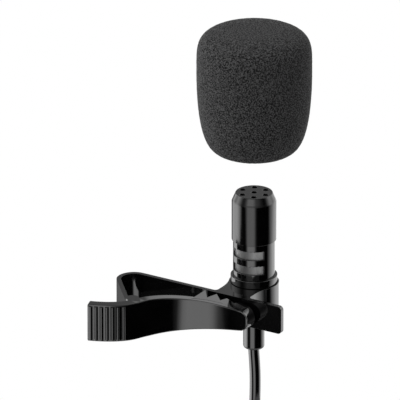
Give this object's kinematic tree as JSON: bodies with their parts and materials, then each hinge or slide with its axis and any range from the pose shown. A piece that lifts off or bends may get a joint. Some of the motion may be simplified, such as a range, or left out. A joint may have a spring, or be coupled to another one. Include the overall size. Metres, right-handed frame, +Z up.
{
  "type": "lavalier microphone",
  "caption": "Small clip-on microphone: slotted barrel with drilled cap in a sprung toothed garment clip, coiled cable to a 3.5 mm plug, and a separate foam windscreen.",
  "frame": {"origin": "grip point: on the jaw plate's inner face, at its mid-height, in line with the microphone axis", "axes": "+X along the jaw to its free end, +Y through the jaw plate towards the microphone, +Z up along the microphone axis"},
  "size_m": [0.0507, 0.0458, 0.1798],
  "materials": {
    "black_gloss": "polished moulded plastic",
    "black_metal": "gloss black over metal",
    "steel_mesh": "fine woven mesh",
    "felt": "pressed felt",
    "rubber": "soft matte rubber",
    "aluminium": "drawn",
    "brass": "plain",
    "white_plastic": "natural",
    "chip_black": "moulded",
    "board_green": "solder mask",
    "solder": "bright solder",
    "wire_red": "wire sheath",
    "wire_white": "wire sheath",
    "cable_black": "smooth glossy cable sheath",
    "tie_black": "hook-and-loop tape",
    "gold": "gold plated",
    "steel": "spring steel",
    "foam": "open-cell foam"
  },
  "bodies": {
    "microphone": {"clip_base": "black_gloss", "mic_collar": "black_metal", "mic_barrel": "black_metal", "slot_mesh": "steel_mesh", "mic_cap": "black_metal", "cap_mesh": "steel_mesh", "dust_felt": "felt", "capsule_boot": "rubber", "electret_can": "aluminium", "diaphragm": "brass", "spacer_ring": "white_plastic", "backplate": "aluminium", "insulator_cup": "white_plastic", "fet": "chip_black", "capsule_pcb": "board_green", "solder_left": "solder", "solder_right": "solder", "lead_wire_left": "wire_red", "lead_wire_right": "wire_white", "cable_crimp": "brass", "strain_relief": "black_gloss", "cable_entry": "cable_black", "cable_run": "cable_black", "cable_coil": "cable_black", "cable_tail": "cable_black", "cable_tie": "tie_black", "plug_boot": "rubber", "plug_grip": "black_metal", "plug_sleeve": "gold", "plug_ring_1": "gold", "plug_ring_2": "gold", "plug_insulator_1": "chip_black", "plug_insulator_2": "chip_black", "plug_insulator_3": "chip_black", "plug_tip": "gold", "torsion_spring": "steel"},
    "lever": {"clip_lever": "black_gloss", "hinge_pin": "steel"},
    "windscreen": {"foam_windscreen": "foam"}
  },
  "joints": [
    {"name": "lever_pivot", "type": "hinge", "parent": "microphone", "child": "lever", "pos_m": [-0.0168, -0.0142, -0.00025], "axis": [0, 0, 1], "range_deg": [-30, 0], "stiffness_Nm_per_rad": 0.03, "springref_deg": 68.75, "deforming": ["torsion_spring"]},
    {"name": "windscreen_slide", "type": "slide", "parent": "microphone", "child": "windscreen", "axis": [0, 0, 1], "range_m": [-0.0276, 0]}
  ]
}
